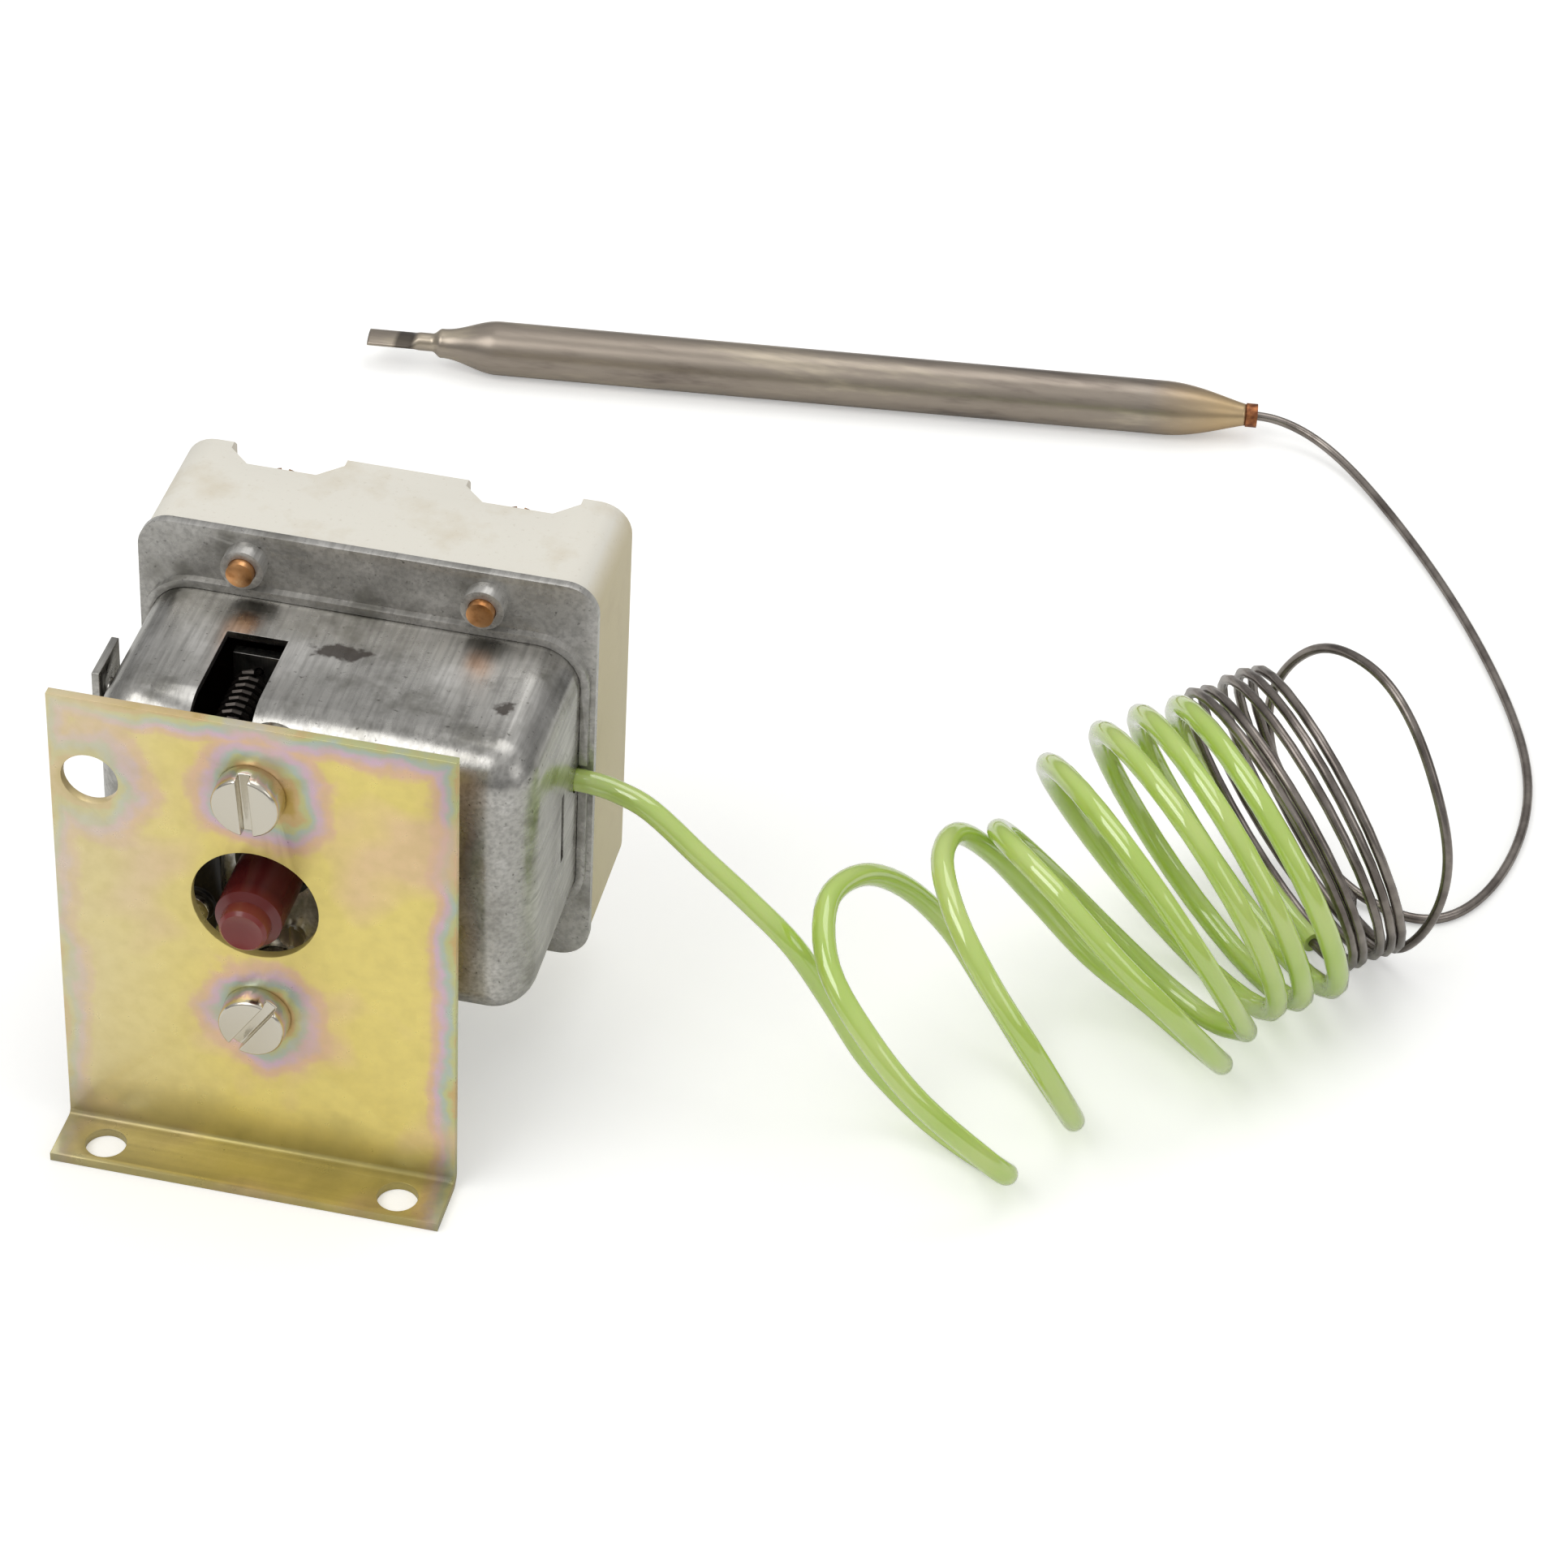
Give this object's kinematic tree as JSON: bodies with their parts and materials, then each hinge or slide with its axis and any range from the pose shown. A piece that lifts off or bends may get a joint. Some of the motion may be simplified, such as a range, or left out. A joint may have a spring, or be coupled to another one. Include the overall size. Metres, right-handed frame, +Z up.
{
  "type": "temperature limiter",
  "caption": "Manual-reset temperature limiter: yellow zinc-plated bracket with a maroon reset button, drawn metal can on a ceramic base with tabs, coiled capillary with green sleeve and sensor bulb",
  "frame": {"origin": "Midway between the two foot holes, on the underside of the bracket's foot flange", "axes": "X to the right of the bracket seen from the button side, Y from the button back to the terminals, Z up along the bracket plate"},
  "size_m": [0.1529, 0.167, 0.0567],
  "materials": {
    "zinc_yellow": "satin",
    "nickel_steel": "polished",
    "can_steel": "satin",
    "ceramic": "matte",
    "brass": "satin",
    "tinned_brass": "satin",
    "black_moulding": "satin",
    "brown_moulding": "satin",
    "inner_steel": "satin",
    "spring_steel": "satin",
    "dark_spring": "satin",
    "maroon_plastic": "gloss",
    "green_sleeve": "gloss",
    "capillary_copper": "satin",
    "bulb_copper": "satin",
    "braze": "satin"
  },
  "bodies": {
    "head": {"bracket": "zinc_yellow", "bracket_screws": "nickel_steel", "pillars": "nickel_steel", "cover_can": "can_steel", "rim_plate": "can_steel", "ceramic_base": "ceramic", "base_screws": "brass", "ground_tab": "can_steel", "front_insulator": "black_moulding", "insulator_screw": "nickel_steel", "mechanism_frame": "inner_steel", "button_guide": "black_moulding", "button_spring": "spring_steel", "lever_pin": "spring_steel", "trip_spring": "dark_spring", "diaphragm_capsule": "capillary_copper", "calibration_screw": "nickel_steel", "inner_capillary": "capillary_copper", "carrier_springs": "spring_steel", "terminal_1": "tinned_brass", "terminal_2": "tinned_brass", "terminal_3": "tinned_brass", "terminal_4": "tinned_brass", "terminal_5": "tinned_brass", "terminal_6": "tinned_brass", "sleeve_lead": "green_sleeve", "sleeve_coil": "green_sleeve", "capillary_coil": "capillary_copper", "capillary_lead": "capillary_copper", "sensor_bulb": "bulb_copper", "bulb_collar": "braze"},
    "button": {"reset_button": "maroon_plastic"},
    "lever": {"trip_lever": "inner_steel"},
    "carrier": {"contact_carrier": "brown_moulding", "bridge_left": "brass", "bridge_middle": "brass", "bridge_right": "brass", "contact_springs": "spring_steel"}
  },
  "joints": [
    {"name": "button_press", "type": "slide", "parent": "head", "child": "button", "axis": [0, 1, 0], "range_m": [0, 0.002], "stiffness_N_per_m": 400, "deforming": ["button_spring"]},
    {"name": "lever_trip", "type": "hinge", "parent": "head", "child": "lever", "pos_m": [0, 0.02735, 0.0285], "axis": [-1, 0, 0], "range_deg": [-9, 0], "deforming": ["trip_spring"]},
    {"name": "carrier_slide", "type": "slide", "parent": "head", "child": "carrier", "axis": [0, 1, 0], "range_m": [-0.0017, 0], "deforming": ["carrier_springs"]}
  ],
  "couplings": [
    {"joint": "carrier_slide", "follows": "lever_trip", "m_per_rad": 0.0108}
  ]
}
